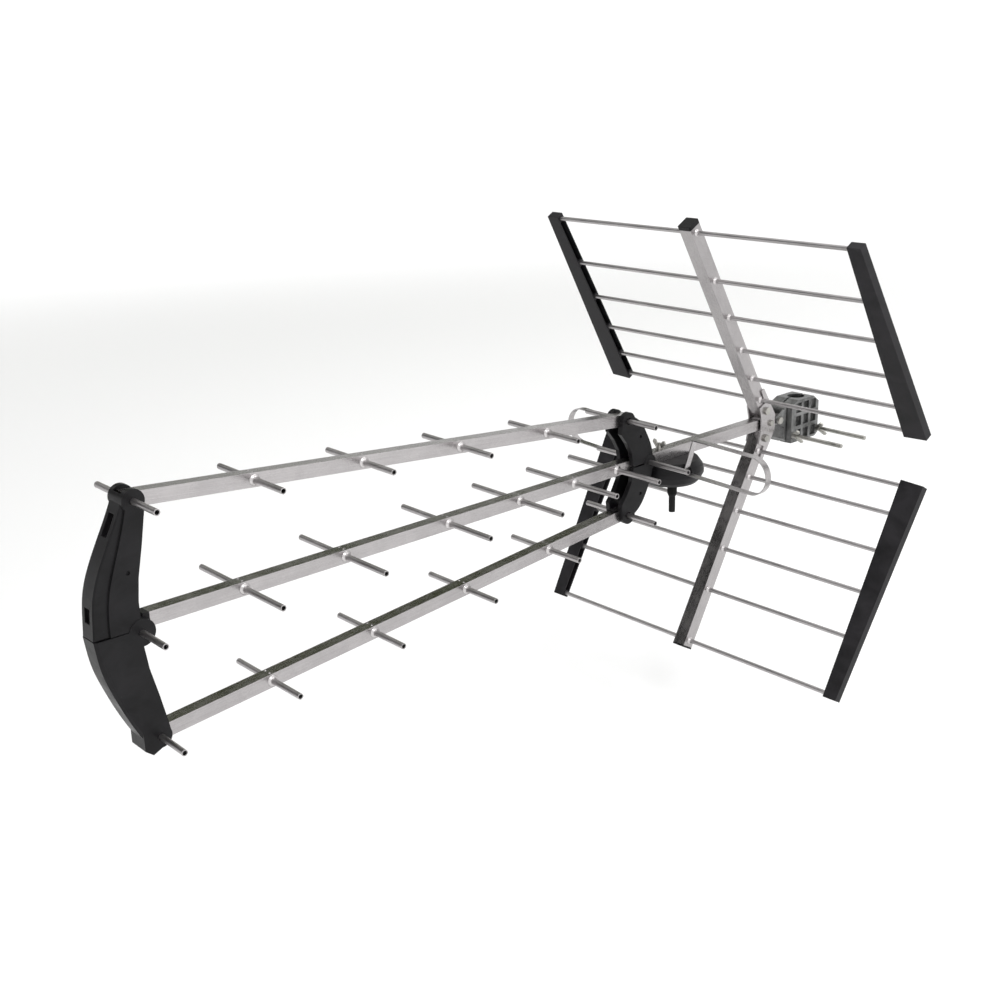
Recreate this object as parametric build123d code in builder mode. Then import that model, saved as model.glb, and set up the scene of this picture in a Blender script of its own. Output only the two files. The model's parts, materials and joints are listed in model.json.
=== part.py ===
"""UHF yagi antenna with three booms, a folding corner reflector and a mast clamp.

Millimetres, +Z up.  The origin is on the mast axis at the height of the main boom.
The booms run forward along -Y, the director rods lie along X.
"""
import os
from math import cos, sin, radians, hypot, atan2, degrees
from build123d import *

# ---------------------------------------------------------------- driving dimensions
BOOM = 16.0                 # square boom tube, outside
WALL = 1.2                  # tube wall
ROD_D = 7.0                 # director tube
ROD_WALL = 0.9
ROD_FIT = 0.05              # radial clearance of a rod in its hole
OPEN_PIVOT = 1.1            # radial play where the boom linkage is opened
MAIN_HALF = 83.0            # half length of the main boom directors
OUTER_HALF = 63.0           # half length of the outer boom directors
MAIN_Y = [-976.0, -843.0, -691.0, -575.0, -479.0, -400.0]
NOSE_Y = -1101.0            # hinge rod in the front bracket
NOSE_Z = -9.0
KNUCKLE_Y = -343.0          # hinge rod in the rear bracket
OUTER_REAR_Y = -385.0       # rear rod of each outer boom
OUTER_REAR_Z = 65.9
OUTER_FRONT_Y = -1094.0
OUTER_FRONT_Z = 129.6
OUTER_COUNT = 6
OUTER_END = 6.5             # boom beyond its front rod
BOOM_FRONT_Y = -1088.0
BOOM_TAIL_Y = -48.5
DIMPLE_X = 4.2              # punch marks beside each rod on a boom's top

CHEEK_IN = 8.3              # inner face of a bracket cheek, from the centre plane
CHEEK_MID = 11.6
CHEEK_BASE = 12.6           # outer face of the lower step along a bracket's rim
CHEEK_OUT = 15.0
FRONT_EAR_R = 12.5
REAR_EAR_R = 12.0
FRONT_HUB_R = 15.0
REAR_HUB_R = 11.0

CORNER_Y = -76.0            # line where the two reflector planes meet
ARM_LEAN = 30.0             # reflector arm lean from vertical
ARM = 20.0
ARM_START = 17.0
ARM_END = 353.0
PIVOT_S = 24.0              # arm pivot, measured along the arm from the corner line
ROD_S = [45.0, 86.0, 139.5, 199.0, 263.0, 343.5]
REF_ROD_D = 6.0
REF_HALF = 261.0
CAP_IN = 250.0
CAP_S0 = 38.0
CAP_S1 = 349.5
CAP_W0 = 35.0
CAP_W1 = 20.0

DIPOLE_Y = -297.0
STRIP_W = 10.0
STRIP_T = 1.5
LEFT_END = 185.0            # reach of each dipole loop
RIGHT_END = 179.0
LOOP_TOP = 30.0
LOOP_BOTTOM = -22.5
FOOT_TOP = -18.2            # strap foot under the housing lid
SCREW_X = 32.0
LEFT_TILT = 3.1             # the loops are bent a little out of level, degrees
RIGHT_TILT = -1.7
HOUSING_Y = -285.0
HOUSING_R = 47.0
HOUSING_TOP = -16.2
HOUSING_FLOOR = -41.0
BOLT_Y = -308.0
CONNECTOR_Y = -280.0

MAST_R = 12.7
CLAMP_Z0 = -39.0
CLAMP_Z1 = 25.0
JAW_IN = 1.0
JAW_OUT = 20.0
JAW_HALF = 39.0
WALL_FRONT = -43.0          # cross wall between the boom's cheeks and the fixed jaw
WALL_BACK = -38.5
TEETH_Y = [17.0, 21.5, 26.0, 30.5, 35.0]
LEG_Y = 29.5
LEG_Z = -27.5
LEG_R = 3.0
LEG_END = 106.0
BEND_X = -20.5
TILT_Y = -56.0
TILT_R = 3.0

os.makedirs("parts", exist_ok=True)


def save(part, label):
    """Name a finished piece and write its file."""
    part.label = label
    export_step(part, f"parts/{label}.step")


def box(x0, x1, y0, y1, z0, z1):
    """A block between opposite corners, for cutting outside the builders."""
    return Pos((x0 + x1) / 2, (y0 + y1) / 2, (z0 + z1) / 2) * Box(x1 - x0, y1 - y0, z1 - z0)


def rod(y, z, half, diameter, wall, label):
    """An open-ended tube lying along X."""
    with BuildPart() as tube:
        with BuildSketch(Plane.YZ.offset(-half)):
            with Locations((y, z)):
                Circle(diameter / 2)
                Circle(diameter / 2 - wall, mode=Mode.SUBTRACT)
        extrude(amount=2 * half)
    save(tube.part, label)
    return tube.part


# ---------------------------------------------------------------- booms
OUTER_SLOPE = (OUTER_FRONT_Z - OUTER_REAR_Z) / (OUTER_REAR_Y - OUTER_FRONT_Y)
OUTER_PITCH = (OUTER_REAR_Y - OUTER_FRONT_Y) / (OUTER_COUNT - 1)
OUTER_Y = [OUTER_FRONT_Y + OUTER_PITCH * n for n in range(OUTER_COUNT)]
OUTER_LENGTH = hypot(OUTER_FRONT_Y - OUTER_REAR_Y, OUTER_FRONT_Z - OUTER_REAR_Z)


def outer_z(y):
    """Height of the upper boom's axis at a place along it."""
    return OUTER_REAR_Z + OUTER_SLOPE * (OUTER_REAR_Y - y)


with BuildPart() as main_boom:
    with BuildSketch(Plane.XZ.offset(-BOOM_TAIL_Y)):
        Rectangle(BOOM, BOOM)
        Rectangle(BOOM - 2 * WALL, BOOM - 2 * WALL, mode=Mode.SUBTRACT)
    extrude(amount=BOOM_TAIL_Y - BOOM_FRONT_Y)
    with BuildSketch(Plane.YZ.offset(-BOOM)):
        for y in MAIN_Y + [KNUCKLE_Y]:
            with Locations((y, 0)):
                Circle(ROD_D / 2 + ROD_FIT)
        with Locations((TILT_Y, 0)):
            Circle(TILT_R + 0.05)
        with Locations((CORNER_Y, 0)):
            Circle(2.55)
    extrude(amount=2 * BOOM, mode=Mode.SUBTRACT)
    with BuildSketch(Plane.XY.offset(-BOOM)):
        with Locations((0, BOLT_Y)):
            Circle(2.6)
    extrude(amount=2 * BOOM, mode=Mode.SUBTRACT)
    with BuildSketch(Plane.XY.offset(BOOM / 2)):
        for y in MAIN_Y:
            with Locations((-DIMPLE_X, y), (DIMPLE_X, y)):
                Circle(1.6)
    extrude(amount=-0.9, taper=40, mode=Mode.SUBTRACT)
save(main_boom.part, "main_boom")

for side, name in ((1, "upper_boom"), (-1, "lower_boom")):
    along = Vector(0, OUTER_FRONT_Y - OUTER_REAR_Y, side * (OUTER_FRONT_Z - OUTER_REAR_Z))
    start = Vector(0, OUTER_REAR_Y, side * OUTER_REAR_Z)
    boom_plane = Plane(origin=start, x_dir=(1, 0, 0), z_dir=along)
    with BuildPart() as boom:
        with BuildSketch(boom_plane.offset(-9)):
            Rectangle(BOOM, BOOM)
            Rectangle(BOOM - 2 * WALL, BOOM - 2 * WALL, mode=Mode.SUBTRACT)
        extrude(amount=OUTER_LENGTH + 9 + OUTER_END)
        with BuildSketch(Plane.YZ.offset(-BOOM)):
            for y in OUTER_Y:
                with Locations((y, side * outer_z(y))):
                    Circle(ROD_D / 2 + ROD_FIT)
        extrude(amount=2 * BOOM, mode=Mode.SUBTRACT)
        top = Plane(origin=start, x_dir=(1, 0, 0), z_dir=(0, along.Z, -along.Y))
        with BuildSketch(top.offset(BOOM / 2)):
            for n in range(1, OUTER_COUNT - 1):
                with Locations((-DIMPLE_X, -n * OUTER_LENGTH / (OUTER_COUNT - 1)),
                               (DIMPLE_X, -n * OUTER_LENGTH / (OUTER_COUNT - 1))):
                    Circle(1.6)
        extrude(amount=-0.9, taper=40, mode=Mode.SUBTRACT)
    save(boom.part, name)

# ---------------------------------------------------------------- director rods
rod(NOSE_Y, NOSE_Z, OUTER_HALF, ROD_D, ROD_WALL, "director_main_1")
for number, y in enumerate(MAIN_Y + [KNUCKLE_Y], start=2):
    rod(y, 0, MAIN_HALF, ROD_D, ROD_WALL, f"director_main_{number}")
for number, y in enumerate(OUTER_Y, start=1):
    rod(y, outer_z(y), OUTER_HALF, ROD_D, ROD_WALL, f"director_upper_{number}")
    rod(y, -outer_z(y), OUTER_HALF, ROD_D, ROD_WALL, f"director_lower_{number}")

# ---------------------------------------------------------------- boom nose
with BuildPart() as boom_nose:
    with BuildSketch(Plane.XZ.offset(-(BOOM_FRONT_Y + 26))):
        Rectangle(BOOM - 2 * WALL - 0.1, BOOM - 2 * WALL - 0.1)
    extrude(amount=26)
    with BuildSketch(Plane.YZ.offset(-7.9)):
        with BuildLine():
            Polyline((BOOM_FRONT_Y - 0.1, 8), (BOOM_FRONT_Y - 0.1, -8), (NOSE_Y, NOSE_Z - 8),
                     (NOSE_Y, NOSE_Z + 8), (BOOM_FRONT_Y - 7, 8), close=True)
        make_face()
        with Locations((NOSE_Y, NOSE_Z)):
            Circle(8)
    extrude(amount=15.8)
    with BuildSketch(Plane.YZ.offset(-BOOM)):
        with Locations((NOSE_Y, NOSE_Z)):
            Circle(ROD_D / 2 + ROD_FIT, mode=Mode.ADD)
    extrude(amount=2 * BOOM, mode=Mode.SUBTRACT)
save(boom_nose.part, "boom_nose")


# ---------------------------------------------------------------- crescent brackets
def crescent(side, outline, crease, hub, hub_r, ear, cavity, hub_outside, pockets, hole, ear_bore):
    """Half of a boom bracket: a web between two cheeks, a hub ear and a boom ear.

    side is +1 for the upper half.  Points are (y, z) of the upper half.  The cheeks are
    stepped along the crease, or plain when there is none.
    """
    def flip(points):
        return [(y, side * z) for y, z in points]

    ear_y, ear_z, ear_r = ear
    base = CHEEK_BASE if crease else CHEEK_OUT
    with BuildPart() as half:
        with BuildSketch(Plane.YZ.offset(-base)):
            with BuildLine():
                Spline(*flip(outline[0]))
                Polyline(*flip([outline[0][-1]] + outline[1] + [outline[0][0]]))
            make_face()
            with Locations((ear_y, side * ear_z)):
                Circle(ear_r)
            with Locations(hub):
                Circle(hub_r)
        extrude(amount=2 * base)
        chamfer(half.edges().filter_by(GeomType.BSPLINE), 1.4 if crease else 3.2)
        if crease:
            with BuildSketch(Plane.YZ.offset(-CHEEK_OUT)):
                with BuildLine():
                    Spline(*flip(crease))
                    Polyline(*flip([crease[-1]] + outline[1] + [crease[0]]))
                make_face()
                with Locations((ear_y, side * ear_z)):
                    Circle(ear_r)
                if hub_outside:
                    with Locations(hub):
                        Circle(hub_r)
            extrude(amount=2 * CHEEK_OUT)
        with BuildSketch(Plane.YZ.offset(-CHEEK_IN)):
            with BuildLine():
                Polyline(*flip(cavity), close=True)
            make_face()
            with Locations(hub):
                Circle(hub_r + 2)
        extrude(amount=2 * CHEEK_IN, mode=Mode.SUBTRACT)
        for low, high in ((-CHEEK_OUT - 1, -CHEEK_MID + 0.15), (CHEEK_MID - 0.15, CHEEK_OUT + 1)):
            if not hub_outside:
                with BuildSketch(Plane.YZ.offset(low)):
                    with Locations(hub):
                        Circle(hub_r + 0.5)
                extrude(amount=high - low, mode=Mode.SUBTRACT)
        for low, high in ((-CHEEK_MID - 0.15, -CHEEK_IN + 0.3), (CHEEK_IN - 0.3, CHEEK_MID + 0.15)):
            if hub_outside:
                with BuildSketch(Plane.YZ.offset(low)):
                    with Locations(hub):
                        Circle(hub_r + 0.5)
                extrude(amount=high - low, mode=Mode.SUBTRACT)
        with BuildSketch(Plane.YZ.offset(-2 * CHEEK_OUT)):
            with Locations(hub):
                Circle(ROD_D / 2 + ROD_FIT)
            with Locations((ear_y, side * ear_z)):
                Circle(ear_bore)
        extrude(amount=4 * CHEEK_OUT, mode=Mode.SUBTRACT)
        if hole:
            with BuildSketch(Plane.YZ.offset(CHEEK_OUT - 2)):
                with Locations((hole[0], side * hole[1])):
                    Circle(2.4)
            extrude(amount=4, mode=Mode.SUBTRACT)
    shape = half.part
    for y0, y1, z0, z1 in pockets:
        low, high = sorted((side * z0, side * z1))
        shape = shape - box(-5.5, 5.5, y0, y1, low, high)
    return shape


FRONT_UPPER = [(-1152.2, -4), (-1150.5, 15), (-1147, 40), (-1135.5, 71), (-1121, 99), (-1106.3, 129)]
FRONT_LOWER = [(-1152.4, 5), (-1151, 18), (-1147.5, 40), (-1138, 70), (-1126.5, 99), (-1113.5, 126)]
LOWER_CHIN = [(-1113.6, 140), (-1105, 147), (-1094, 142)]
FRONT_BACK = [(-1081.6, 130), (-1084, 116), (-1090.5, 83), (-1098, 50), (-1101, 25)]
FRONT_CREASE = [(-1135, -4), (-1134.5, 15), (-1131, 40), (-1121, 71), (-1111, 99), (-1103, 126)]
FRONT_CAVITY = [(-1145, -30), (-1144.5, 14), (-1141, 38), (-1130, 68), (-1116.5, 97), (-1103.2, 124),
                (-1102.8, 160), (-1060, 160), (-1060, -30)]
FRONT_POCKETS = [(-1160, -1146.5, 12, 28), (-1135, -1104.5, 96, 118)]
front_ear = (OUTER_FRONT_Y, OUTER_FRONT_Z, FRONT_EAR_R)
upper_back = FRONT_BACK + [(NOSE_Y, FRONT_UPPER[0][1])]
lower_back = LOWER_CHIN + FRONT_BACK + [(NOSE_Y, FRONT_LOWER[0][1])]
save(crescent(1, (FRONT_UPPER, upper_back), FRONT_CREASE, (NOSE_Y, NOSE_Z), FRONT_HUB_R, front_ear,
              FRONT_CAVITY, False, FRONT_POCKETS, (-1109, 58), ROD_D / 2 + ROD_FIT),
     "front_bracket_upper")
save(crescent(-1, (FRONT_LOWER, lower_back), None, (NOSE_Y, NOSE_Z), FRONT_HUB_R, front_ear,
              FRONT_CAVITY, True, [], None, ROD_D / 2 + ROD_FIT),
     "front_bracket_lower")

REAR_FACE = [(-334, 1.2), (-335, 16), (-343.5, 37), (-356, 57), (-373.8, 70)]
REAR_CREASE = [(-340, 1.2), (-341, 16), (-349.5, 37), (-361.5, 56), (-378, 68)]
REAR_BACK = [(-396.8, 64), (-399, 50), (-388, 36), (-379, 20), (-376, 1.2)]
REAR_CAVITY = [(-344, -20), (-344, 12), (-350, 32), (-364, 48), (-372, 52), (-358, 60),
               (-352, 100), (-440, 100), (-440, -20)]
for side, name in ((1, "rear_bracket_upper"), (-1, "rear_bracket_lower")):
    piece = crescent(side, (REAR_FACE, REAR_BACK), REAR_CREASE, (KNUCKLE_Y, 0), REAR_HUB_R,
                     (OUTER_REAR_Y, OUTER_REAR_Z, REAR_EAR_R), REAR_CAVITY, side < 0, [], (-362, 40),
                     ROD_D / 2 + OPEN_PIVOT)
    save(piece - box(-8.4, 8.4, -400, -300, -13.5, 13.5), name)

# ---------------------------------------------------------------- dipole
def along(start, unit, length):
    """Point a given length away from a start point."""
    return start[0] + unit[0] * length, start[1] + unit[1] * length


for side, tilt, end, name in ((1, RIGHT_TILT, RIGHT_END, "dipole_right"),
                              (-1, LEFT_TILT, LEFT_END, "dipole_left")):
    run = (cos(radians(tilt)), sin(radians(tilt)))
    across = (-run[1], run[0])
    loop_r = ((LOOP_TOP - LOOP_BOTTOM) * across[1] + 6 * across[0]) / 2
    middle = along((48, LOOP_BOTTOM), across, loop_r)
    middle = along(middle, run, (end - loop_r - middle[0]) / run[0])
    high = along(middle, across, loop_r)
    low = along(middle, across, -loop_r)
    tip = along(middle, run, loop_r)
    with BuildPart() as loop:
        with BuildSketch(Plane.XZ.offset(-DIPOLE_Y - STRIP_W / 2)):
            with BuildLine():
                Polyline((side * high[0], high[1]), (side * 54, LOOP_TOP), (side * 38.5, FOOT_TOP),
                         (side * 26, FOOT_TOP), (side * 26, LOOP_BOTTOM), (side * 48, LOOP_BOTTOM),
                         (side * low[0], low[1]))
                ThreePointArc((side * low[0], low[1]), (side * tip[0], tip[1]), (side * high[0], high[1]))
            make_face()
            offset(amount=-STRIP_T, kind=Kind.INTERSECTION, mode=Mode.SUBTRACT)
        extrude(amount=STRIP_W)
        with BuildSketch(Plane.XY.offset(LOOP_BOTTOM)):
            with Locations((side * SCREW_X, DIPOLE_Y)):
                Circle(1.6)
        extrude(amount=FOOT_TOP - LOOP_BOTTOM, mode=Mode.SUBTRACT)
    save(loop.part, name)

with BuildPart() as dipole_housing:
    with BuildSketch(Plane.YZ):
        with BuildLine():
            Polyline((HOUSING_Y, HOUSING_FLOOR), (HOUSING_Y + 38, HOUSING_FLOOR),
                     (HOUSING_Y + 43, HOUSING_FLOOR + 5), (HOUSING_Y + HOUSING_R, HOUSING_FLOOR + 13.5),
                     (HOUSING_Y + HOUSING_R, HOUSING_FLOOR + 18), (HOUSING_Y + 45, HOUSING_TOP),
                     (HOUSING_Y + 42.6, HOUSING_TOP), (HOUSING_Y + 42.6, HOUSING_FLOOR + 12),
                     (HOUSING_Y + 35.5, HOUSING_FLOOR + 2.5), (HOUSING_Y, HOUSING_FLOOR + 2.5), close=True)
        make_face()
    revolve(axis=Axis((0, HOUSING_Y, 0), (0, 0, 1)))
    with BuildSketch(Plane.XY.offset(HOUSING_FLOOR + 2.5)):
        for x, y in ((-24, -310), (24, -310), (-24, -262), (24, -262)):
            with Locations((x, y)):
                Circle(3)
    extrude(amount=5)
    with BuildSketch(Plane.XY.offset(HOUSING_FLOOR - 10)):
        with Locations((0, CONNECTOR_Y)):
            Circle(5.1)
    extrude(amount=20, mode=Mode.SUBTRACT)
    with BuildSketch(Plane.XY.offset(LOOP_BOTTOM - 0.6)):
        with Locations((0, DIPOLE_Y)):
            Rectangle(120, STRIP_W + 0.8)
    extrude(amount=30, mode=Mode.SUBTRACT)
save(dipole_housing.part, "dipole_housing")

with BuildPart() as housing_lid:
    with BuildSketch(Plane.XY.offset(HOUSING_TOP + 0.1)):
        with Locations((0, HOUSING_Y)):
            Circle(HOUSING_R - 2.2)
    extrude(amount=-BOOM / 2 - 0.1 - HOUSING_TOP - 0.1, taper=36)
    with BuildSketch(Plane.XY.offset(HOUSING_TOP - 3)):
        with Locations((0, HOUSING_Y)):
            Circle(HOUSING_R - 4.6)
            Circle(HOUSING_R - 6.6, mode=Mode.SUBTRACT)
        with Locations((0, DIPOLE_Y)):
            Rectangle(120, STRIP_W + 0.8, mode=Mode.SUBTRACT)
    extrude(amount=3.2)
    with BuildSketch(Plane.XY.offset(HOUSING_TOP - 6)):
        with Locations((0, BOLT_Y)):
            Circle(2.6)
        with Locations((0, DIPOLE_Y)):
            Rectangle(2 * 60, STRIP_W + 0.8)
            Rectangle(2 * 38, STRIP_W + 2, mode=Mode.SUBTRACT)
    extrude(amount=20, mode=Mode.SUBTRACT)
save(housing_lid.part, "housing_lid")

with BuildPart() as balun_board:
    with BuildSketch(Plane.XY.offset(HOUSING_FLOOR + 7.6)):
        with Locations((0, -286)):
            RectangleRounded(56, 56, 5)
    extrude(amount=1.6)
    with BuildSketch(Plane.XY.offset(HOUSING_FLOOR + 9.2)):
        with Locations((-12, -290), (12, -290)):
            Rectangle(14, 9)
        with Locations((-22, -270), (20, -268)):
            Rectangle(5, 8)
    extrude(amount=4)
save(balun_board.part, "balun_board")

with BuildPart() as f_connector:
    with BuildSketch(Plane.XY.offset(HOUSING_FLOOR - 14)):
        with Locations((0, CONNECTOR_Y)):
            Circle(4.7)
            Circle(3.6, mode=Mode.SUBTRACT)
    extrude(amount=14 + 7.5)
    with BuildSketch(Plane.XY.offset(HOUSING_FLOOR - 3)):
        with Locations((0, CONNECTOR_Y)):
            RegularPolygon(6.4, 6)
            Circle(3.6, mode=Mode.SUBTRACT)
    extrude(amount=2.9)
    with BuildSketch(Plane.XY.offset(HOUSING_FLOOR + 2.6)):
        with Locations((0, CONNECTOR_Y)):
            RegularPolygon(6.4, 6)
    extrude(amount=2.5)
    with BuildSketch(Plane.XY.offset(HOUSING_FLOOR - 12)):
        with Locations((0, CONNECTOR_Y)):
            Circle(0.5)
    extrude(amount=16)
save(f_connector.part, "f_connector")

with BuildPart() as connector_boot:
    with BuildSketch(Plane.XZ) as boot_profile:
        with BuildLine():
            Polyline((4.85, -44.3), (7.2, -44.3), (7.4, -48), (6.3, -50), (6.3, -64), (4.6, -67.5),
                     (4.5, -90), (3.3, -90), (3.3, -64), (4.85, -58), close=True)
        make_face()
    revolve(axis=Axis.Z)
save(Pos(0, CONNECTOR_Y, 0) * connector_boot.part, "connector_boot")

with BuildPart() as terminal_screws:
    for x in (-SCREW_X, SCREW_X):
        with BuildSketch(Plane.XY.offset(FOOT_TOP + 0.05)):
            with Locations((x, DIPOLE_Y)):
                Circle(2.8)
        extrude(amount=1.6)
        with BuildSketch(Plane.XY.offset(LOOP_BOTTOM - 5)):
            with Locations((x, DIPOLE_Y)):
                Circle(1.5)
        extrude(amount=11)
save(terminal_screws.part, "terminal_screws")

with BuildPart() as dipole_bolt:
    with BuildSketch(Plane.XY.offset(HOUSING_TOP - 4)):
        with Locations((0, BOLT_Y)):
            RegularPolygon(4.6, 6)
    extrude(amount=3.9)
    with BuildSketch(Plane.XY.offset(HOUSING_TOP - 2)):
        with Locations((0, BOLT_Y)):
            Circle(2.5)
    extrude(amount=35)
save(dipole_bolt.part, "dipole_bolt")


def wing_nut(plane, bore, scale, label):
    """A wing nut standing on a plane, bored for its bolt."""
    with BuildPart() as nut:
        with BuildSketch(plane):
            Circle(4.6 * scale)
        extrude(amount=6 * scale, taper=6)
        with BuildSketch(Plane(origin=plane.origin, x_dir=plane.x_dir, z_dir=-plane.y_dir).offset(-1.3)):
            for flip in (1, -1):
                with BuildLine():
                    Polyline((flip * 2.6 * scale, 0.6), (flip * 5.5 * scale, 2.4 * scale),
                             (flip * 11 * scale, 9 * scale), (flip * 9.5 * scale, 13 * scale),
                             (flip * 6 * scale, 12 * scale), (flip * 2.6 * scale, 6 * scale * 0.97),
                             close=True)
                make_face()
        extrude(amount=2.6)
        with BuildSketch(plane.offset(-5)):
            Circle(bore)
        extrude(amount=40, mode=Mode.SUBTRACT)
    save(nut.part, label)


wing_nut(Plane(origin=(0, BOLT_Y, BOOM / 2 + 0.1), x_dir=(1, 0, 0), z_dir=(0, 0, 1)),
         2.56, 1.0, "dipole_wing_nut")


# ---------------------------------------------------------------- corner reflector
def panel_plane(side, s=0.0):
    """Plane lying in a reflector panel: x across, y outward along the arm."""
    lean = radians(ARM_LEAN)
    origin = (0, CORNER_Y - s * sin(lean), side * s * cos(lean))
    return Plane(origin=origin, x_dir=(1, 0, 0), z_dir=(0, -side * cos(lean), -sin(lean)))


def panel_point(side, s):
    """The (y, z) of a point along a reflector arm."""
    lean = radians(ARM_LEAN)
    return CORNER_Y - s * sin(lean), side * s * cos(lean)


def arm_section(side, s):
    """Plane across a reflector arm."""
    lean = radians(ARM_LEAN)
    return Plane(origin=(0, *panel_point(side, s)), x_dir=(1, 0, 0),
                 z_dir=(0, -sin(lean), side * cos(lean)))


for side, word in ((1, "upper"), (-1, "lower")):
    with BuildPart() as arm:
        with BuildSketch(arm_section(side, ARM_START)):
            Rectangle(ARM, ARM)
            Rectangle(ARM - 2 * WALL, ARM - 2 * WALL, mode=Mode.SUBTRACT)
        extrude(amount=ARM_END - ARM_START)
        with BuildSketch(Plane.YZ.offset(-ARM)):
            for s in ROD_S:
                with Locations(panel_point(side, s)):
                    Circle(REF_ROD_D / 2 + ROD_FIT)
            with Locations(panel_point(side, PIVOT_S)):
                Circle(3.05)
        extrude(amount=2 * ARM, mode=Mode.SUBTRACT)
    save(arm.part, f"{word}_reflector_arm")

    with BuildPart() as plug:
        with BuildSketch(arm_section(side, ARM_END - 5)):
            Rectangle(ARM - 2 * WALL - 0.1, ARM - 2 * WALL - 0.1)
        extrude(amount=5.2)
        with BuildSketch(arm_section(side, ARM_END + 0.1)):
            RectangleRounded(ARM + 1, ARM + 1, 1.5)
        extrude(amount=6 if side > 0 else 2.5)
    save(plug.part, f"{word}_arm_plug")

    with BuildPart() as rods:
        for s in ROD_S:
            with BuildSketch(Plane.YZ.offset(-REF_HALF)):
                with Locations(panel_point(side, s)):
                    Circle(REF_ROD_D / 2)
                    Circle(REF_ROD_D / 2 - 0.8, mode=Mode.SUBTRACT)
            extrude(amount=2 * REF_HALF)
    save(rods.part, f"{word}_reflector_rods")

    for hand, tag in ((1, "right"), (-1, "left")):
        with BuildPart() as cap:
            with BuildSketch(panel_plane(side).offset(-6)):
                with BuildLine():
                    Polyline((hand * CAP_IN, CAP_S0), (hand * (CAP_IN + CAP_W0), CAP_S0 + 2),
                             (hand * (CAP_IN + CAP_W1), CAP_S1), (hand * CAP_IN, CAP_S1), close=True)
                make_face()
            extrude(amount=12)
            with BuildSketch(panel_plane(side).offset(-4.4)):
                with BuildLine():
                    Polyline((hand * (CAP_IN - 5), CAP_S0 + 2.5), (hand * (CAP_IN + CAP_W0 - 3), CAP_S0 + 4),
                             (hand * (CAP_IN + CAP_W1 - 3), CAP_S1 - 2.5),
                             (hand * (CAP_IN - 5), CAP_S1 - 2.5), close=True)
                make_face()
            extrude(amount=8.8, mode=Mode.SUBTRACT)
            with BuildSketch(panel_plane(side).offset(-5.4)):
                for s in ROD_S:
                    with Locations((hand * (CAP_IN + 7.5), s)):
                        Rectangle(15, 9)
            extrude(amount=10.8)
            with BuildSketch(Plane.YZ.offset(hand * (CAP_IN - 10))):
                for s in ROD_S:
                    with Locations(panel_point(side, s)):
                        Circle(REF_ROD_D / 2 + ROD_FIT)
            extrude(amount=hand * (10 + REF_HALF - CAP_IN + 0.2), mode=Mode.SUBTRACT)
        save(cap.part, f"{word}_cap_{tag}")

# ---------------------------------------------------------------- reflector bracket
PLATE_IN = 10.2
PLATE_OUT = 12.4
WEB_Y = CORNER_Y + 10
with BuildPart() as reflector_bracket:
    with BuildSketch(Plane.YZ.offset(-PLATE_OUT)):
        for side in (1, -1):
            fin = panel_point(side, 58)
            ear = panel_point(side, 37)
            root = panel_point(side, 14)
            with BuildLine():
                Polyline((ear[0] - 8, ear[1] - side * 5), (ear[0] + 4, ear[1] + side * 1),
                         (fin[0] + 5, fin[1] + side * 2), (fin[0] + 11, fin[1] + side * 5),
                         (WEB_Y, side * 12), (WEB_Y, 0), (CORNER_Y - 22, 0),
                         (root[0] - 15, side * 8), close=True)
            make_face()
    extrude(amount=2 * PLATE_OUT)
    with BuildSketch(Plane.YZ.offset(-PLATE_IN)):
        with BuildLine():
            Polyline((WEB_Y - 2.2, 20), (WEB_Y - 2.2, -20), (CORNER_Y - 10, -90),
                     (CORNER_Y - 90, -90), (CORNER_Y - 90, 90), (CORNER_Y - 10, 90), close=True)
        make_face()
    extrude(amount=2 * PLATE_IN, mode=Mode.SUBTRACT)
    with BuildSketch(Plane.XZ.offset(-CORNER_Y - 30)):
        Rectangle(BOOM + 0.2, BOOM + 0.2)
    extrude(amount=30, mode=Mode.SUBTRACT)
    with BuildSketch(Plane.YZ.offset(-30)):
        for side in (1, -1):
            with Locations(panel_point(side, PIVOT_S)):
                Circle(3.05)
        with Locations((CORNER_Y, 0)):
            Circle(2.55)
    extrude(amount=60, mode=Mode.SUBTRACT)
save(reflector_bracket.part, "reflector_bracket")


def cross_bolt(y, z, radius, inner, label, extra=()):
    """A hexagon bolt along X with a nut on its left end."""
    with BuildPart() as bolt:
        for yy, zz in ((y, z),) + tuple(extra):
            with BuildSketch(Plane.YZ.offset(-inner - 7)):
                with Locations((yy, zz)):
                    Circle(radius)
            extrude(amount=2 * inner + 8)
            with BuildSketch(Plane.YZ.offset(inner + 0.1)):
                with Locations((yy, zz)):
                    RegularPolygon(radius * 1.9, 6)
            extrude(amount=radius * 1.3)
            with BuildSketch(Plane.YZ.offset(-inner - 0.1 - radius * 1.5)):
                with Locations((yy, zz)):
                    RegularPolygon(radius * 1.9, 6)
            extrude(amount=radius * 1.5)
    save(bolt.part, label)


cross_bolt(*panel_point(1, PIVOT_S), 3.0, PLATE_OUT, "fold_bolts", extra=(panel_point(-1, PIVOT_S),))
cross_bolt(CORNER_Y, 0, 2.5, PLATE_OUT, "bracket_bolt")

with BuildPart() as spacers:
    for x in (BOOM / 2 + 0.05, -PLATE_IN + 0.05):
        with BuildSketch(Plane.YZ.offset(x)):
            with Locations((CORNER_Y, 0)):
                Circle(6)
                Circle(2.55, mode=Mode.SUBTRACT)
        extrude(amount=PLATE_IN - BOOM / 2 - 0.1)
save(spacers.part, "bracket_spacers")

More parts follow.
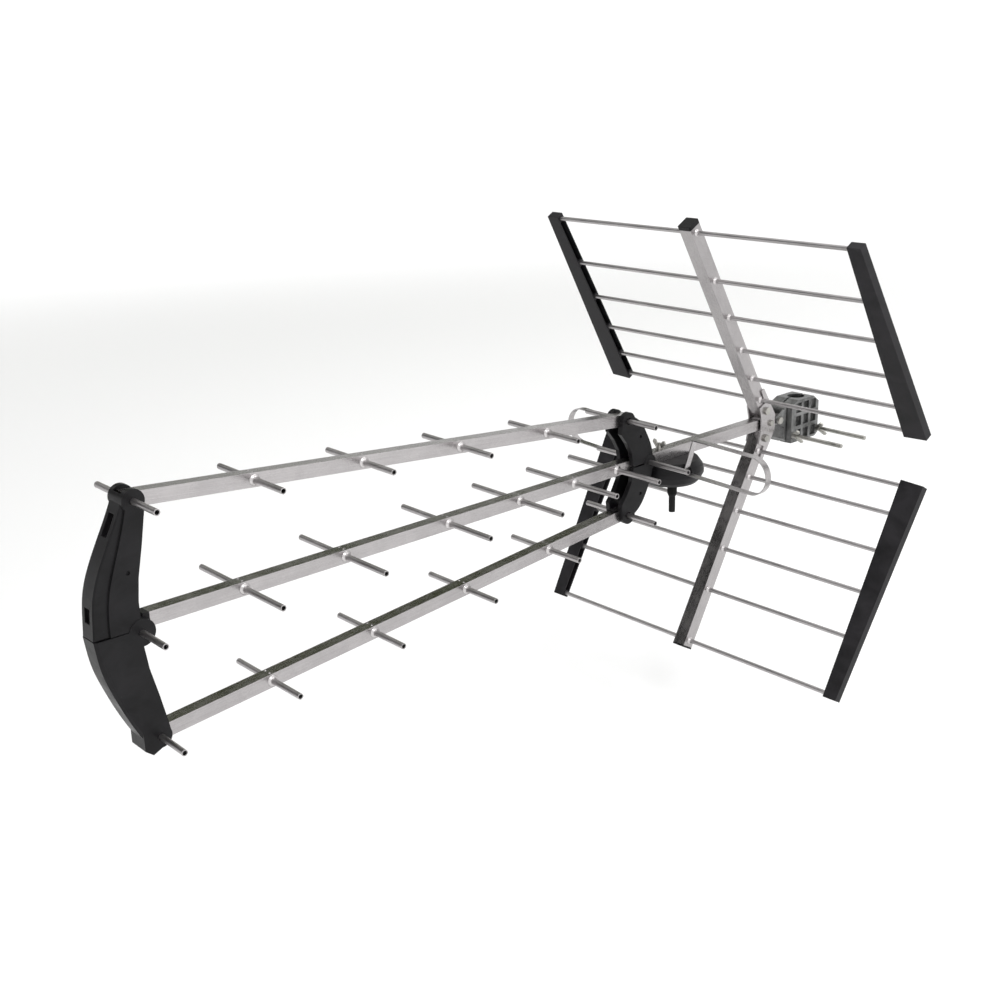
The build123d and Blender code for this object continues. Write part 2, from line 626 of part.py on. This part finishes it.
# ---------------------------------------------------------------- mast clamp
FIXED_JAW = [(-JAW_OUT, WALL_FRONT), (PLATE_OUT, WALL_FRONT), (PLATE_OUT, WALL_BACK), (-JAW_IN, WALL_BACK),
             (-JAW_IN, JAW_HALF), (-JAW_OUT + 8, JAW_HALF), (-JAW_OUT, 28)]
MOVING_JAW = [(JAW_IN, WALL_BACK + 0.5), (JAW_OUT, WALL_BACK + 4), (JAW_OUT, JAW_HALF - 8),
              (JAW_OUT - 6, JAW_HALF), (JAW_IN, JAW_HALF)]
for side, outline, name in ((-1, FIXED_JAW, "clamp_body"), (1, MOVING_JAW, "clamp_jaw")):
    with BuildPart() as jaw:
        with BuildSketch(Plane.XY.offset(CLAMP_Z0)):
            with BuildLine():
                Polyline(*outline, close=True)
            make_face()
            Circle(MAST_R + 0.05, mode=Mode.SUBTRACT)
        extrude(amount=CLAMP_Z1 - CLAMP_Z0)
        with BuildSketch(Plane.YZ.offset(-40)):
            with BuildLine():
                Polyline((WALL_FRONT - 1, CLAMP_Z0 + 8), (WALL_FRONT - 1, 15), (-20, CLAMP_Z1),
                         (18, CLAMP_Z1), (JAW_HALF + 1, 8), (JAW_HALF + 1, -28), (24, CLAMP_Z0),
                         (-36, CLAMP_Z0), close=True)
            make_face()
        extrude(amount=80, mode=Mode.INTERSECT)
        with BuildSketch(Plane.XY.offset(CLAMP_Z0 - 1)):
            for y in TEETH_Y:
                for flank in (-1, 1):
                    with BuildLine():
                        Polyline((side * (JAW_IN - 0.5), flank * y - 2), (side * (JAW_IN + 2), flank * y),
                                 (side * (JAW_IN - 0.5), flank * y + 2), close=True)
                    make_face()
        extrude(amount=CLAMP_Z1 - CLAMP_Z0 + 2, mode=Mode.SUBTRACT)
        with BuildSketch(Plane.YZ.offset(side * (JAW_OUT - 5))):
            for y in (-18, 0, 18):
                for z in (-28, -7, 13):
                    with Locations((y, z)):
                        Rectangle(13, 15)
        extrude(amount=side * 10, mode=Mode.SUBTRACT)
        if side < 0:
            for x in (-PLATE_OUT, CHEEK_IN + 0.2):
                with BuildSketch(Plane.YZ.offset(x)):
                    with BuildLine():
                        Polyline((WALL_FRONT + 1, -14), (WALL_FRONT + 1, 14), (TILT_Y, 6.2),
                                 (TILT_Y, -6.2), close=True)
                    make_face()
                    with Locations((TILT_Y, 0)):
                        Circle(6.2)
                extrude(amount=PLATE_OUT - CHEEK_IN - 0.2)
        with BuildSketch(Plane.YZ.offset(-60)):
            with Locations((TILT_Y, 0)):
                Circle(TILT_R + 0.05)
            for y in (-LEG_Y, LEG_Y):
                with Locations((y, LEG_Z)):
                    Circle(LEG_R + 0.5)
        extrude(amount=120, mode=Mode.SUBTRACT)
    save(jaw.part, name)

with BuildPart() as u_bolt:
    with BuildLine() as u_path:
        Line((LEG_END, -LEG_Y, LEG_Z), (BEND_X, -LEG_Y, LEG_Z))
        ThreePointArc((BEND_X, -LEG_Y, LEG_Z), (BEND_X - LEG_Y, 0, LEG_Z), (BEND_X, LEG_Y, LEG_Z))
        Line((BEND_X, LEG_Y, LEG_Z), (LEG_END, LEG_Y, LEG_Z))
    with BuildSketch(Plane(origin=(LEG_END, -LEG_Y, LEG_Z), z_dir=(-1, 0, 0))):
        Circle(LEG_R)
    sweep()
save(u_bolt.part, "u_bolt")

for y, name in ((-LEG_Y, "clamp_wing_nut_front"), (LEG_Y, "clamp_wing_nut_rear")):
    seat = Plane(origin=(JAW_OUT + 0.1, y, LEG_Z), x_dir=(0, 0.5, -0.866), z_dir=(1, 0, 0))
    wing_nut(seat, LEG_R + 0.06, 1.1, name)

cross_bolt(TILT_Y, 0, TILT_R, PLATE_OUT, "tilt_bolt")
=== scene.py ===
import json
import math
import bpy
from mathutils import Matrix, Vector


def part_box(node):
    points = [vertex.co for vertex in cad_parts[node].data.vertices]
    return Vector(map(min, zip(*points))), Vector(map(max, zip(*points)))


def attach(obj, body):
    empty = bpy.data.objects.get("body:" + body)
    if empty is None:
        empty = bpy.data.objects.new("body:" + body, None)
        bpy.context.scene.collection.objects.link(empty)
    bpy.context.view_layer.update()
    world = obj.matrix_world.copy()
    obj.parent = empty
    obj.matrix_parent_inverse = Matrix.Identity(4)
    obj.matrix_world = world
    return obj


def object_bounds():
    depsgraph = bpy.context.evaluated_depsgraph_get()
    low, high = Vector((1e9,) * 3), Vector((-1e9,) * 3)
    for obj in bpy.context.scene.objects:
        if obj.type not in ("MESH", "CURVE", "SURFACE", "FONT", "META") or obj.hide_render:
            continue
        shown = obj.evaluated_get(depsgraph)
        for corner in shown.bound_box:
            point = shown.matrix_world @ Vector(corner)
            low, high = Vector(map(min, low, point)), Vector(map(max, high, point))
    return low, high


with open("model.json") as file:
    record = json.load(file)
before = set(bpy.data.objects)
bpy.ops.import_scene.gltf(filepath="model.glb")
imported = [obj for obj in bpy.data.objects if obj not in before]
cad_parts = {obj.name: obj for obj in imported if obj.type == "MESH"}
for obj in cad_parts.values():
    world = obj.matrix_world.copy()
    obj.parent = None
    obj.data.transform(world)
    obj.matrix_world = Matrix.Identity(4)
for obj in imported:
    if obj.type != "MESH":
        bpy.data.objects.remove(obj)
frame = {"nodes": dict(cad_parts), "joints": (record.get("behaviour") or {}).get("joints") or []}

cad_low, cad_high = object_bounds()
nodes = frame["nodes"]
joint_place = {joint["name"]: joint["pos_m"] for joint in frame["joints"]}

X, Y, Z = (1, 0, 0), (0, 1, 0), (0, 0, 1)

# Sizes are in metres, in the CAD's frame.
BOOM_HALF = 0.008                       # half the width of a square boom
BOOM_RUN, BOOM_RISE = 0.709, 0.0637     # an outer boom's slope, from its last rod to its first
DIRECTOR_R = 0.0035
ARM_HALF = 0.010                        # half the width of a square reflector arm
ARM_LEAN = math.radians(30)             # lean of a reflector arm from vertical
CORNER_Y = -0.076                       # line where the two reflector planes meet
REFLECTOR_ROD_R = 0.0030
ROD_REACH = (0.045, 0.086, 0.1395, 0.199, 0.263, 0.3435)    # reflector rods along an arm

# A swage's profile: distance out from the tube's side, and radius as a multiple of the rod's.
SWAGE = ((-0.0004, 1.0), (0.00005, 1.86), (0.00035, 1.84), (0.0009, 1.62),
         (0.0016, 1.3), (0.0023, 1.12), (0.0032, 1.02), (0.0039, 1.004))

LEG_R = 0.0030                          # U-bolt leg
THREAD_START, THREAD_END = 0.073, 0.1052
THREAD_PITCH = 0.001
THREAD_TURNS = 32
THREAD_ROOT, THREAD_CREST = 0.00302, 0.00322
THREAD_SIDES = 20

BOOT_R, RIB_R = 0.00635, 0.00685
RIB_TOP = -0.0515
RIB_PITCH = 0.0013
RIB_COUNT = 9
RIB_SIDES = 40


# ---------------------------------------------------------------- material tools
class Mat:
    """A node material with short helpers for its node tree."""

    def __init__(self, name, base, metallic=0.0, roughness=0.5, **sockets):
        self.mat = bpy.data.materials.new(name)
        self.mat.use_nodes = True
        self.tree = self.mat.node_tree
        self.shader = self.tree.nodes["Principled BSDF"]
        self.put("Base Color", (*base, 1))
        self.put("Metallic", metallic)
        self.put("Roughness", roughness)
        for key, value in sockets.items():
            self.put(key.replace("_", " "), value)
        self.coord = self.add("ShaderNodeTexCoord").outputs["Object"]

    def put(self, socket, value):
        self.shader.inputs[socket].default_value = value

    def add(self, kind, **props):
        node = self.tree.nodes.new(kind)
        for key, value in props.items():
            setattr(node, key, value)
        return node

    def join(self, out, into):
        self.tree.links.new(out, into)

    def space(self, scale=1, along=None):
        """Object coordinates, turned so that X runs along a direction, then scaled evenly or by axis."""
        out = self.coord
        if along is not None:
            turn = self.add("ShaderNodeMapping")
            rotation = Vector(along).normalized().rotation_difference(Vector(X))
            turn.inputs["Rotation"].default_value = rotation.to_euler()
            self.join(out, turn.inputs["Vector"])
            out = turn.outputs["Vector"]
        size = self.add("ShaderNodeMapping")
        size.inputs["Scale"].default_value = scale if isinstance(scale, tuple) else (scale, scale, scale)
        self.join(out, size.inputs["Vector"])
        return size.outputs["Vector"]

    def noise(self, vector, detail=4.0, rough=0.55, distortion=0.0):
        node = self.add("ShaderNodeTexNoise")
        node.inputs["Scale"].default_value = 1.0
        node.inputs["Detail"].default_value = detail
        node.inputs["Roughness"].default_value = rough
        node.inputs["Distortion"].default_value = distortion
        self.join(vector, node.inputs["Vector"])
        return node.outputs["Fac"]

    def cells(self, vector, scale, feature="F1"):
        node = self.add("ShaderNodeTexVoronoi", feature=feature)
        node.inputs["Scale"].default_value = scale
        self.join(vector, node.inputs["Vector"])
        return node.outputs["Distance"]

    def span(self, fac, low, high, to_low, to_high):
        """A value's range mapped to another range."""
        node = self.add("ShaderNodeMapRange")
        for key, value in (("From Min", low), ("From Max", high), ("To Min", to_low), ("To Max", to_high)):
            node.inputs[key].default_value = value
        self.join(fac, node.inputs["Value"])
        return node.outputs["Result"]

    def math(self, operation, a, b):
        node = self.add("ShaderNodeMath", operation=operation)
        for value, socket in ((a, node.inputs[0]), (b, node.inputs[1])):
            if isinstance(value, (int, float)):
                socket.default_value = value
            else:
                self.join(value, socket)
        return node.outputs[0]

    def tint(self, fac, colour_a, colour_b):
        """Colour ramp between two colours."""
        node = self.add("ShaderNodeValToRGB")
        node.color_ramp.elements[0].color = (*colour_a, 1)
        node.color_ramp.elements[1].color = (*colour_b, 1)
        self.join(fac, node.inputs["Fac"])
        return node.outputs["Color"]

    def blend(self, fac, colour_a, colour_b):
        """Mix of two colours, each a tuple or another node's output."""
        node = self.add("ShaderNodeMix", data_type="RGBA")
        self.join(fac, node.inputs["Factor"])
        for value, socket in ((colour_a, node.inputs[6]), (colour_b, node.inputs[7])):
            if isinstance(value, tuple):
                socket.default_value = (*value, 1)
            else:
                self.join(value, socket)
        return node.outputs[2]

    def bump(self, height, strength, distance, previous=None):
        node = self.add("ShaderNodeBump")
        node.inputs["Strength"].default_value = strength
        node.inputs["Distance"].default_value = distance
        self.join(height, node.inputs["Height"])
        if previous is not None:
            self.join(previous, node.inputs["Normal"])
        return node.outputs["Normal"]

    def edge(self, radius):
        """Softly rounded edges in the shading."""
        node = self.add("ShaderNodeBevel", samples=4)
        node.inputs["Radius"].default_value = radius
        return node.outputs["Normal"]

    def wire(self, **outs):
        """Link outputs to the shader's sockets and return the finished material."""
        for key, out in outs.items():
            self.join(out, self.shader.inputs[key.replace("_", " ")])
        return self.mat


def shaded(colour, factor):
    """A colour made darker or lighter by one factor."""
    return tuple(min(1, channel * factor) for channel in colour)


# ---------------------------------------------------------------- finishes
def aluminium(name, along, base=(0.385, 0.369, 0.371), dark=0.84, dull=0.0):
    """Mill-finish aluminium drawn along one direction, with dull patches and fine scratches."""
    m = Mat(name, base, metallic=1.0, roughness=0.4)
    streak = m.noise(m.space((9, 900, 900), along), detail=5)
    fine = m.noise(m.space((60, 4200, 4200), along), detail=2)
    cloud = m.noise(m.space(28), detail=6, rough=0.65)
    speck = m.noise(m.space(700), detail=3, rough=0.7)
    shade = m.math("ADD", m.math("MULTIPLY", streak, 0.45), m.math("MULTIPLY", cloud, 0.55))
    shade = m.math("ADD", m.math("MULTIPLY", shade, 0.8), m.math("MULTIPLY", speck, 0.2))
    colour = m.tint(m.span(shade, 0.36, 0.64, 0, 1), shaded(base, dark), shaded(base, 1.1))
    rough = m.span(cloud, 0.3, 0.7, 0.20 + dull, 0.32 + dull)
    rough = m.math("ADD", rough, m.span(fine, 0.3, 0.7, -0.04, 0.06))
    normal = m.bump(streak, 0.35, 0.00006, m.edge(0.0005))
    normal = m.bump(speck, 0.25, 0.00008, normal)
    return m.wire(Base_Color=colour, Roughness=rough, Normal=normal)


def moulded(name, base=(0.0042, 0.0040, 0.0045), grain=1700, rough_low=0.26, rough_high=0.48):
    """Satin black moulded plastic with a fine spark grain, marks where the plastic flowed, and light
    scuffs; the lighter mottle in the colour is partly those marks and partly painted sheen.
    """
    m = Mat(name, base, roughness=0.45, Specular_IOR_Level=0.17)
    fine = m.noise(m.space(grain), detail=2, rough=0.6)
    flow_and_sheen = m.noise(m.space((22, 22, 34)), detail=5, rough=0.6, distortion=0.6)
    scuff = m.noise(m.space((40, 900, 300), (1, 0.4, 0.2)), detail=3)
    mark = m.span(scuff, 0.66, 0.74, 0, 1)
    # Partly painted sheen: this mottle lightens the colour up to 2.4 times, copying lighter mottled
    # highlights as well as marks where the plastic flowed.
    colour = m.tint(m.span(flow_and_sheen, 0.3, 0.7, 0, 1), shaded(base, 0.6), shaded(base, 2.4))
    colour = m.blend(m.math("MULTIPLY", mark, 0.3), colour, (0.03, 0.03, 0.031))
    rough = m.math("ADD", m.span(flow_and_sheen, 0.3, 0.7, rough_low, rough_high), m.math("MULTIPLY", mark, 0.12))
    normal = m.bump(fine, 0.3, 0.00012, m.edge(0.0009))
    return m.wire(Base_Color=colour, Roughness=rough, Normal=normal)


def cast(name, base=(0.13, 0.131, 0.13)):
    """Tumbled die-cast metal: a grainy, pitted skin with lighter and darker patches."""
    m = Mat(name, base, metallic=0.85, roughness=0.5)
    pits = m.cells(m.space(), 900)
    grain = m.noise(m.space(420), detail=6, rough=0.7)
    cloud = m.noise(m.space(60), detail=5, rough=0.6)
    colour = m.tint(m.span(cloud, 0.3, 0.7, 0, 1), shaded(base, 0.5), shaded(base, 1.9))
    rough = m.math("ADD", m.span(cloud, 0.3, 0.7, 0.28, 0.5), m.span(grain, 0.3, 0.7, -0.06, 0.08))
    normal = m.bump(grain, 0.5, 0.0003, m.edge(0.001))
    normal = m.bump(pits, 0.2, 0.0001, normal)
    return m.wire(Base_Color=colour, Roughness=rough, Normal=normal)


def plated(name):
    """Zinc or nickel plating with a faint yellow bloom and dull spots."""
    dark, light = (0.26, 0.255, 0.24), (0.46, 0.45, 0.42)
    m = Mat(name, light, metallic=1.0, roughness=0.32)
    bloom = m.noise(m.space(90), detail=4, rough=0.6)
    spots = m.noise(m.space(900), detail=4, rough=0.7)
    colour = m.tint(m.span(bloom, 0.3, 0.7, 0, 1), dark, light)
    rough = m.math("ADD", m.span(bloom, 0.3, 0.7, 0.24, 0.40), m.span(spots, 0.4, 0.7, 0, 0.12))
    normal = m.bump(spots, 0.3, 0.00006, m.edge(0.0003))
    return m.wire(Base_Color=colour, Roughness=rough, Normal=normal)


def rubber(name):
    """Matt black rubber with a dusty bloom."""
    dark, dusty = (0.004, 0.004, 0.004), (0.014, 0.0138, 0.0135)
    m = Mat(name, dark, roughness=0.75, Specular_IOR_Level=0.2)
    fine = m.noise(m.space(2400), detail=3)
    dust = m.noise(m.space((80, 80, 50)), detail=5, rough=0.65)
    colour = m.tint(m.span(dust, 0.35, 0.75, 0, 1), dark, dusty)
    rough = m.span(dust, 0.3, 0.7, 0.62, 0.85)
    normal = m.bump(fine, 0.4, 0.0001, m.edge(0.0005))
    return m.wire(Base_Color=colour, Roughness=rough, Normal=normal)


def circuit(name):
    """Green solder mask over copper tracks on glass laminate."""
    deep, bright = (0.018, 0.13, 0.045), (0.05, 0.24, 0.08)
    m = Mat(name, bright, roughness=0.3, Coat_Weight=0.3, Coat_Roughness=0.15)
    tracks = m.cells(m.space((220, 220, 1)), 1.0, "DISTANCE_TO_EDGE")
    weave = m.noise(m.space(900), detail=2)
    mask = m.span(tracks, 0.05, 0.09, 1, 0)
    colour = m.blend(mask, deep, bright)
    rough = m.span(weave, 0.3, 0.7, 0.22, 0.38)
    normal = m.bump(m.math("ADD", mask, m.math("MULTIPLY", weave, 0.2)), 0.3, 0.00008)
    return m.wire(Base_Color=colour, Roughness=rough, Normal=normal)


def plain(name, colour):
    """A matt surface with a very faint wash, for the floor and the cards."""
    m = Mat(name, colour, roughness=0.9)
    wash = m.noise(m.space(0.6), detail=2)
    return m.wire(Base_Color=m.tint(wash, colour, shaded(colour, 0.99)))


look = {
    "boom": aluminium("boom_aluminium", Y),
    "upper_boom": aluminium("upper_boom_aluminium", (0, -BOOM_RUN, BOOM_RISE)),
    "lower_boom": aluminium("lower_boom_aluminium", (0, -BOOM_RUN, -BOOM_RISE)),
    "upper_arm": aluminium("upper_arm_aluminium", (0, -math.sin(ARM_LEAN), math.cos(ARM_LEAN))),
    "lower_arm": aluminium("lower_arm_aluminium", (0, -math.sin(ARM_LEAN), -math.cos(ARM_LEAN))),
    "rod": aluminium("rod_aluminium", X, base=(0.43, 0.413, 0.415), dark=0.80, dull=0.1),
    "strip": aluminium("strip_aluminium", X, base=(0.42, 0.404, 0.406)),
    "sheet": aluminium("sheet_aluminium", Z, base=(0.40, 0.384, 0.386)),
    # Painted highlight: the swages get a lighter copy of the aluminium, standing in for the bright glint
    # where the rods' flares catch the light.
    "swage": aluminium("swage_aluminium", X, base=(0.56, 0.54, 0.54), dark=0.86),
    "plastic": moulded("black_plastic"),
    "cap": moulded("cap_plastic", base=(0.009, 0.0085, 0.0095), grain=2300, rough_low=0.42, rough_high=0.6),
    "cast": cast("cast_clamp"),
    "zinc": plated("zinc_plate"),
    "nickel": plated("nickel_plate"),
    "rubber": rubber("boot_rubber"),
    "board": circuit("circuit_board"),
}


def finish_of(name):
    """The finish of a CAD node, as a key of look."""
    if name in ("main_boom", "upper_boom", "lower_boom"):
        return name.replace("main_", "")
    if name.startswith("director") or name.endswith("reflector_rods"):
        return "rod"
    if name.endswith("reflector_arm"):
        return name.split("_")[0] + "_arm"
    if name in ("dipole_left", "dipole_right"):
        return "strip"
    if name in ("reflector_bracket", "bracket_spacers"):
        return "sheet"
    if name in ("clamp_body", "clamp_jaw"):
        return "cast"
    if name == "connector_boot":
        return "rubber"
    if name == "balun_board":
        return "board"
    if name == "f_connector":
        return "nickel"
    if "bolt" in name or "nut" in name or "screw" in name:
        return "zinc"
    if "_cap_" in name:
        return "cap"
    return "plastic"


for name, node in nodes.items():
    node.data.materials.clear()
    node.data.materials.append(look[finish_of(name)])


def lathe(shell, rings, centre, axis=0, sides=28):
    """Add a turned surface to a shell: rings are (place along the axis, radius), about the centre."""
    verts, faces = shell
    first = len(verts)
    along, across, over = (Vector((X, Y, Z)[(axis + k) % 3]) for k in range(3))
    for place, radius in rings:
        for k in range(sides):
            turn = 2 * math.pi * k / sides
            spoke = across * math.cos(turn) + over * math.sin(turn)
            verts.append(Vector(centre) + along * place + spoke * radius)
    for r in range(len(rings) - 1):
        for k in range(sides):
            a = first + r * sides + k
            b = first + r * sides + (k + 1) % sides
            faces.append((a, b, b + sides, a + sides))


def piece(name, body, shell, finish):
    """A finished mesh piece that rides on a CAD body."""
    verts, faces = shell
    mesh = bpy.data.meshes.new(name)
    mesh.from_pydata([tuple(v) for v in verts], [], faces)
    mesh.validate()
    for polygon in mesh.polygons:
        polygon.use_smooth = True
    mesh.materials.append(look[finish])
    obj = bpy.data.objects.new(name, mesh)
    bpy.context.scene.collection.objects.link(obj)
    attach(obj, body)


def swages(name, body, centres, tube_half, rod_radius):
    """Flared collars round the rods, where they leave a tube's two sides, in a lighter aluminium that
    paints in their highlight.
    """
    shell = [], []
    for centre in centres:
        for side in (-1, 1):
            rings = [(side * (tube_half + out), rod_radius * swell) for out, swell in SWAGE]
            lathe(shell, rings, centre)
    piece(name, body, shell, "swage")


def director_centres(boom, numbers):
    """Centres of a boom's director rods, from their boxes."""
    boxes = [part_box(f"director_{boom}_{number}") for number in numbers]
    return [(low + high) / 2 for low, high in boxes]


def panel_centres(side):
    """Centres of a panel's reflector rods, for the upper panel (side 1) or the lower one (side -1)."""
    lean, rise = math.sin(ARM_LEAN), math.cos(ARM_LEAN)
    return [(0, CORNER_Y - reach * lean, side * reach * rise) for reach in ROD_REACH]


# The first and last rod of each boom sit in the brackets and have no swages.
swages("main_boom_swages", "antenna", director_centres("main", range(2, 8)), BOOM_HALF, DIRECTOR_R)
for word, side in (("upper", 1), ("lower", -1)):
    outer_rods = director_centres(word, range(2, 6))
    swages(f"{word}_boom_swages", f"{word}_boom_link", outer_rods, BOOM_HALF, DIRECTOR_R)
    swages(f"{word}_arm_swages", f"{word}_panel", panel_centres(side), ARM_HALF, REFLECTOR_ROD_R)


def thread_rings():
    """Profile of a leg's thread: a root and a flat crest in each turn, then the plain end."""
    rings = []
    for turn in range(THREAD_TURNS):
        place = THREAD_START + turn * THREAD_PITCH
        rings += [(place, THREAD_ROOT), (place + 0.4 * THREAD_PITCH, THREAD_CREST),
                  (place + 0.6 * THREAD_PITCH, THREAD_CREST)]
    return rings + [(THREAD_END, LEG_R)]


def rib_rings():
    """Profile of the boot's ribs, from the top down."""
    rings = []
    for rib in range(RIB_COUNT):
        top = RIB_TOP - rib * RIB_PITCH
        rings += [(top, BOOT_R), (top - 0.0003, RIB_R), (top - 0.0007, RIB_R), (top - 0.001, BOOT_R)]
    return rings


for leg in ("front", "rear"):
    leg_y, leg_z = joint_place[f"clamp_nut_{leg}_turn"][1:]
    thread = [], []
    lathe(thread, thread_rings(), (0, leg_y, leg_z), sides=THREAD_SIDES)
    piece(f"leg_thread_{leg}", "clamp_fixed", thread, "zinc")

boot_x, boot_y = joint_place["boot_slide"][:2]
ribs = [], []
lathe(ribs, rib_rings(), (boot_x, boot_y, 0), axis=2, sides=RIB_SIDES)
piece("boot_ribs", "boot", ribs, "rubber")

# ---------------------------------------------------------------- floor, cards and lights
FLOOR_HALF = 30
FLOOR_DROP = 0.1            # the floor lies this far under the object's lowest point
middle = (cad_low + cad_high) / 2


def flat(name, half_width, half_height, material):
    """A flat rectangle that isn't part of the object."""
    mesh = bpy.data.meshes.new(name)
    corners = [(-half_width, -half_height, 0), (half_width, -half_height, 0),
               (half_width, half_height, 0), (-half_width, half_height, 0)]
    mesh.from_pydata(corners, [], [(0, 1, 2, 3)])
    mesh.materials.append(material)
    obj = bpy.data.objects.new(name, mesh)
    bpy.context.scene.collection.objects.link(obj)
    return obj


def face_middle(obj, place, front):
    """Put a lamp or card in its place, with its front axis towards the object's middle."""
    obj.location = place
    obj.rotation_mode = "QUATERNION"
    obj.rotation_quaternion = (middle - Vector(place)).to_track_quat(front, "Y")


def softbox(name, place, width, height, watts):
    light = bpy.data.lights.new(name, "AREA")
    light.shape = "RECTANGLE"
    light.size, light.size_y, light.energy = width, height, watts
    lamp = bpy.data.objects.new(name, light)
    face_middle(lamp, place, "-Z")
    bpy.context.scene.collection.objects.link(lamp)


def card(name, offset, half_width, half_height, colour):
    """A matt card outside the picture, there to be mirrored in the metal."""
    material = plain(name + "_matt", colour)
    face_middle(flat(name, half_width, half_height, material), middle + Vector(offset), "Z")


floor = flat("floor", FLOOR_HALF, FLOOR_HALF, plain("floor_pale", (0.985, 0.985, 0.985)))
floor.location.z = cad_low.z - FLOOR_DROP

world = bpy.data.worlds.new("studio")
bpy.context.scene.world = world
world.use_nodes = True
sky = world.node_tree.nodes["Background"]
sky.inputs["Color"].default_value = (1, 1, 1, 1)
sky.inputs["Strength"].default_value = 1.1

card("front_card", (-1.9, -2.0, 1.5), 1.3, 1.3, (0.02, 0.02, 0.018))
card("rear_card", (-3.4, 1.7, 2.15), 2.2, 1.2, (0.05, 0.062, 0.018))
softbox("key", (2.4, -1.6, 2.4), 1.2, 1.0, watts=28)
softbox("top", (0.2, 0.6, 2.8), 2.4, 1.6, watts=22)
softbox("fill", (2.8, 0.6, 0.6), 1.2, 1.2, watts=10)

# ---------------------------------------------------------------- camera
CAMERA_PLACE = (1.202, -1.656, 0.547)
YAW, PITCH, ROLL = (math.radians(angle) for angle in (-48.77, -18.69, -1.71))
LENS_MM, SENSOR_MM = 48.82, 36

forward = Vector((math.sin(YAW) * math.cos(PITCH), math.cos(YAW) * math.cos(PITCH), math.sin(PITCH)))
level = Vector((math.cos(YAW), -math.sin(YAW), 0))
up = level.cross(forward)
right = level * math.cos(ROLL) + up * math.sin(ROLL)
above = up * math.cos(ROLL) - level * math.sin(ROLL)
turned = Matrix((right, above, -forward)).transposed().to_4x4()

camera = bpy.data.cameras.new("camera")
camera.lens, camera.sensor_width = LENS_MM, SENSOR_MM
camera_object = bpy.data.objects.new("camera", camera)
camera_object.matrix_world = Matrix.Translation(CAMERA_PLACE) @ turned
bpy.context.scene.collection.objects.link(camera_object)
bpy.context.scene.camera = camera_object
bpy.context.scene.view_settings.view_transform = "Standard"
